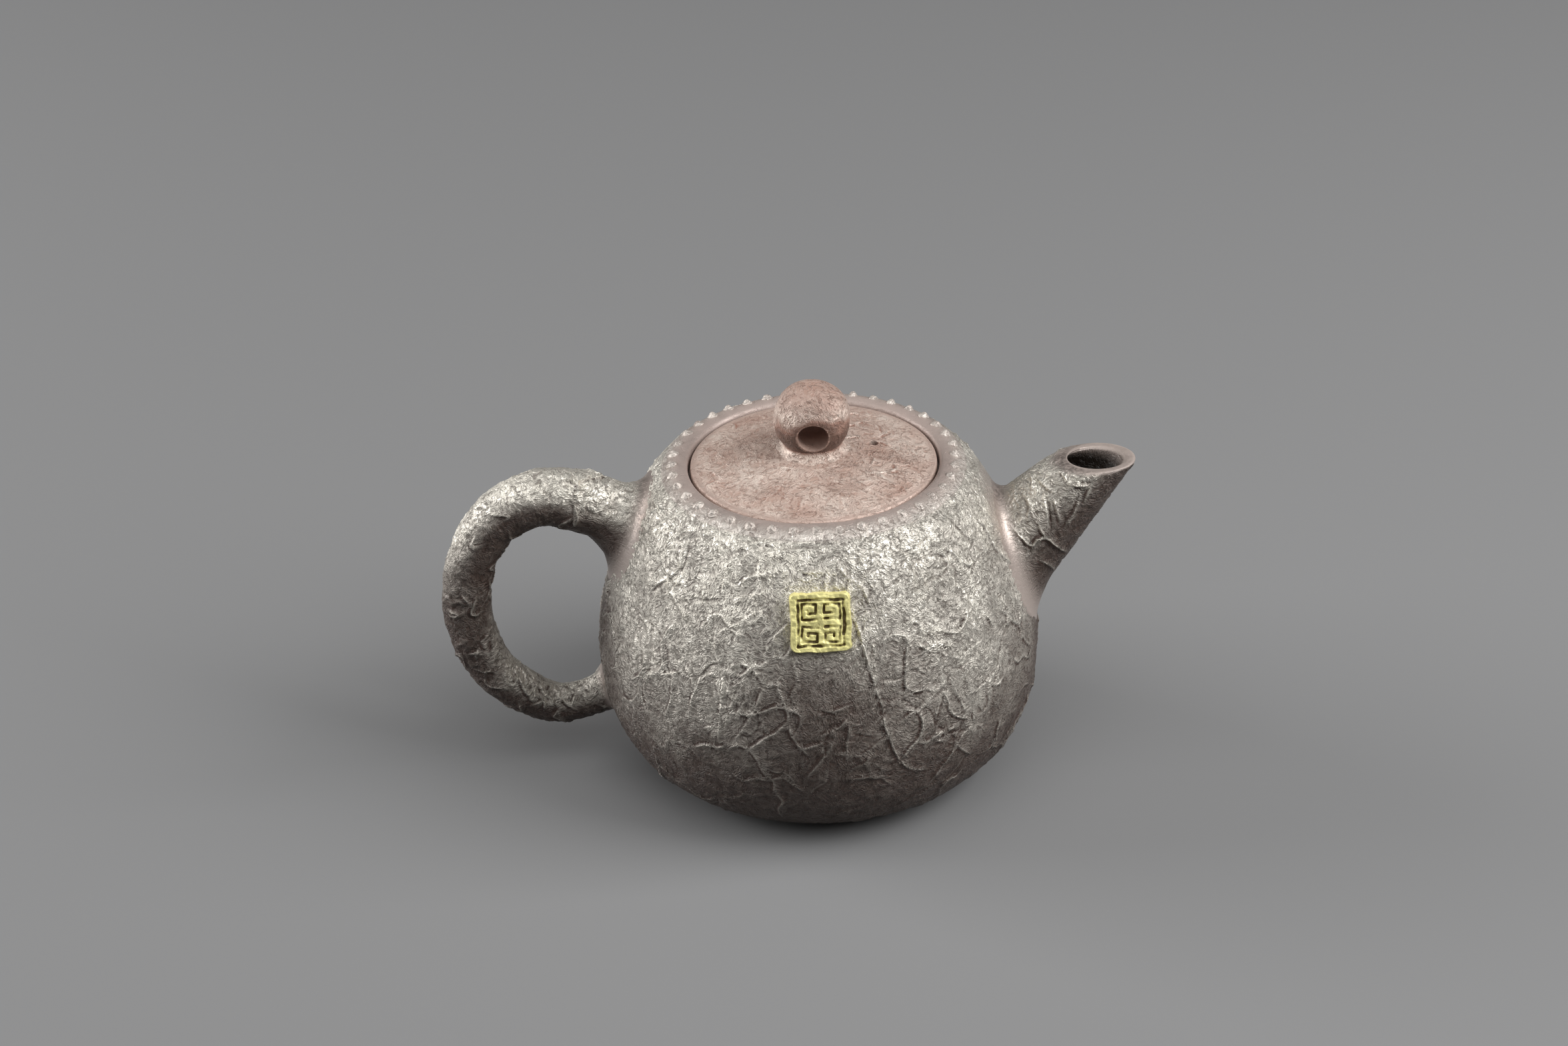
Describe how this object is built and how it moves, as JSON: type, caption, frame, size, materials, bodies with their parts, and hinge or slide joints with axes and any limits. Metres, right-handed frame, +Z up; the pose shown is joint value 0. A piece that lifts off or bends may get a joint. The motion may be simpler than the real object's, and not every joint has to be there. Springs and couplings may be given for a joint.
{
  "type": "clay teapot",
  "caption": "Round clay teapot with crinkled skin, flush lid with pierced ball knob, straight spout, ear handle and a small gilt seal tile.",
  "frame": {"origin": "on the pot's axis at table level, in the middle of the flat base", "axes": "+Z up along the pot's axis, +X towards the spout, -X towards the handle, -Y the side with the seal tile"},
  "size_m": [0.1479, 0.094, 0.0882],
  "materials": {
    "rough_clay": "unglazed purple-brown clay, crinkled skin with a silvery reduction sheen",
    "plain_clay": "unglazed purple-brown clay, scraped flat",
    "smooth_clay": "unglazed clay, rubbed smooth, satin",
    "lid_clay": "unglazed pinkish brown clay, finely wrinkled, matt to satin",
    "gold_leaf": "gold leaf on clay, metallic"
  },
  "bodies": {
    "pot": {"body_wall": "rough_clay", "base_disc": "plain_clay", "shoulder_ring": "smooth_clay", "lid_seat": "smooth_clay", "spout": "rough_clay", "handle": "rough_clay", "seal_tile": "gold_leaf", "clay_nail_01": "smooth_clay", "clay_nail_02": "smooth_clay", "clay_nail_03": "smooth_clay", "clay_nail_04": "smooth_clay", "clay_nail_05": "smooth_clay", "clay_nail_06": "smooth_clay", "clay_nail_07": "smooth_clay", "clay_nail_08": "smooth_clay", "clay_nail_09": "smooth_clay", "clay_nail_10": "smooth_clay", "clay_nail_11": "smooth_clay", "clay_nail_12": "smooth_clay", "clay_nail_13": "smooth_clay", "clay_nail_14": "smooth_clay", "clay_nail_15": "smooth_clay", "clay_nail_16": "smooth_clay", "clay_nail_17": "smooth_clay", "clay_nail_18": "smooth_clay", "clay_nail_19": "smooth_clay", "clay_nail_20": "smooth_clay", "clay_nail_21": "smooth_clay", "clay_nail_22": "smooth_clay", "clay_nail_23": "smooth_clay", "clay_nail_24": "smooth_clay", "clay_nail_25": "smooth_clay", "clay_nail_26": "smooth_clay", "clay_nail_27": "smooth_clay", "clay_nail_28": "smooth_clay", "clay_nail_29": "smooth_clay", "clay_nail_30": "smooth_clay", "clay_nail_31": "smooth_clay", "clay_nail_32": "smooth_clay", "clay_nail_33": "smooth_clay", "clay_nail_34": "smooth_clay", "clay_nail_35": "smooth_clay", "clay_nail_36": "smooth_clay", "clay_nail_37": "smooth_clay", "clay_nail_38": "smooth_clay", "clay_nail_39": "smooth_clay", "clay_nail_40": "smooth_clay"},
    "lid": {"lid_plate": "lid_clay", "lid_flange": "lid_clay", "lid_knob": "lid_clay"}
  },
  "joints": [
    {"name": "lid_lift", "type": "slide", "parent": "pot", "child": "lid", "axis": [0, 0, 1], "range_m": [0, 0.04]}
  ]
}
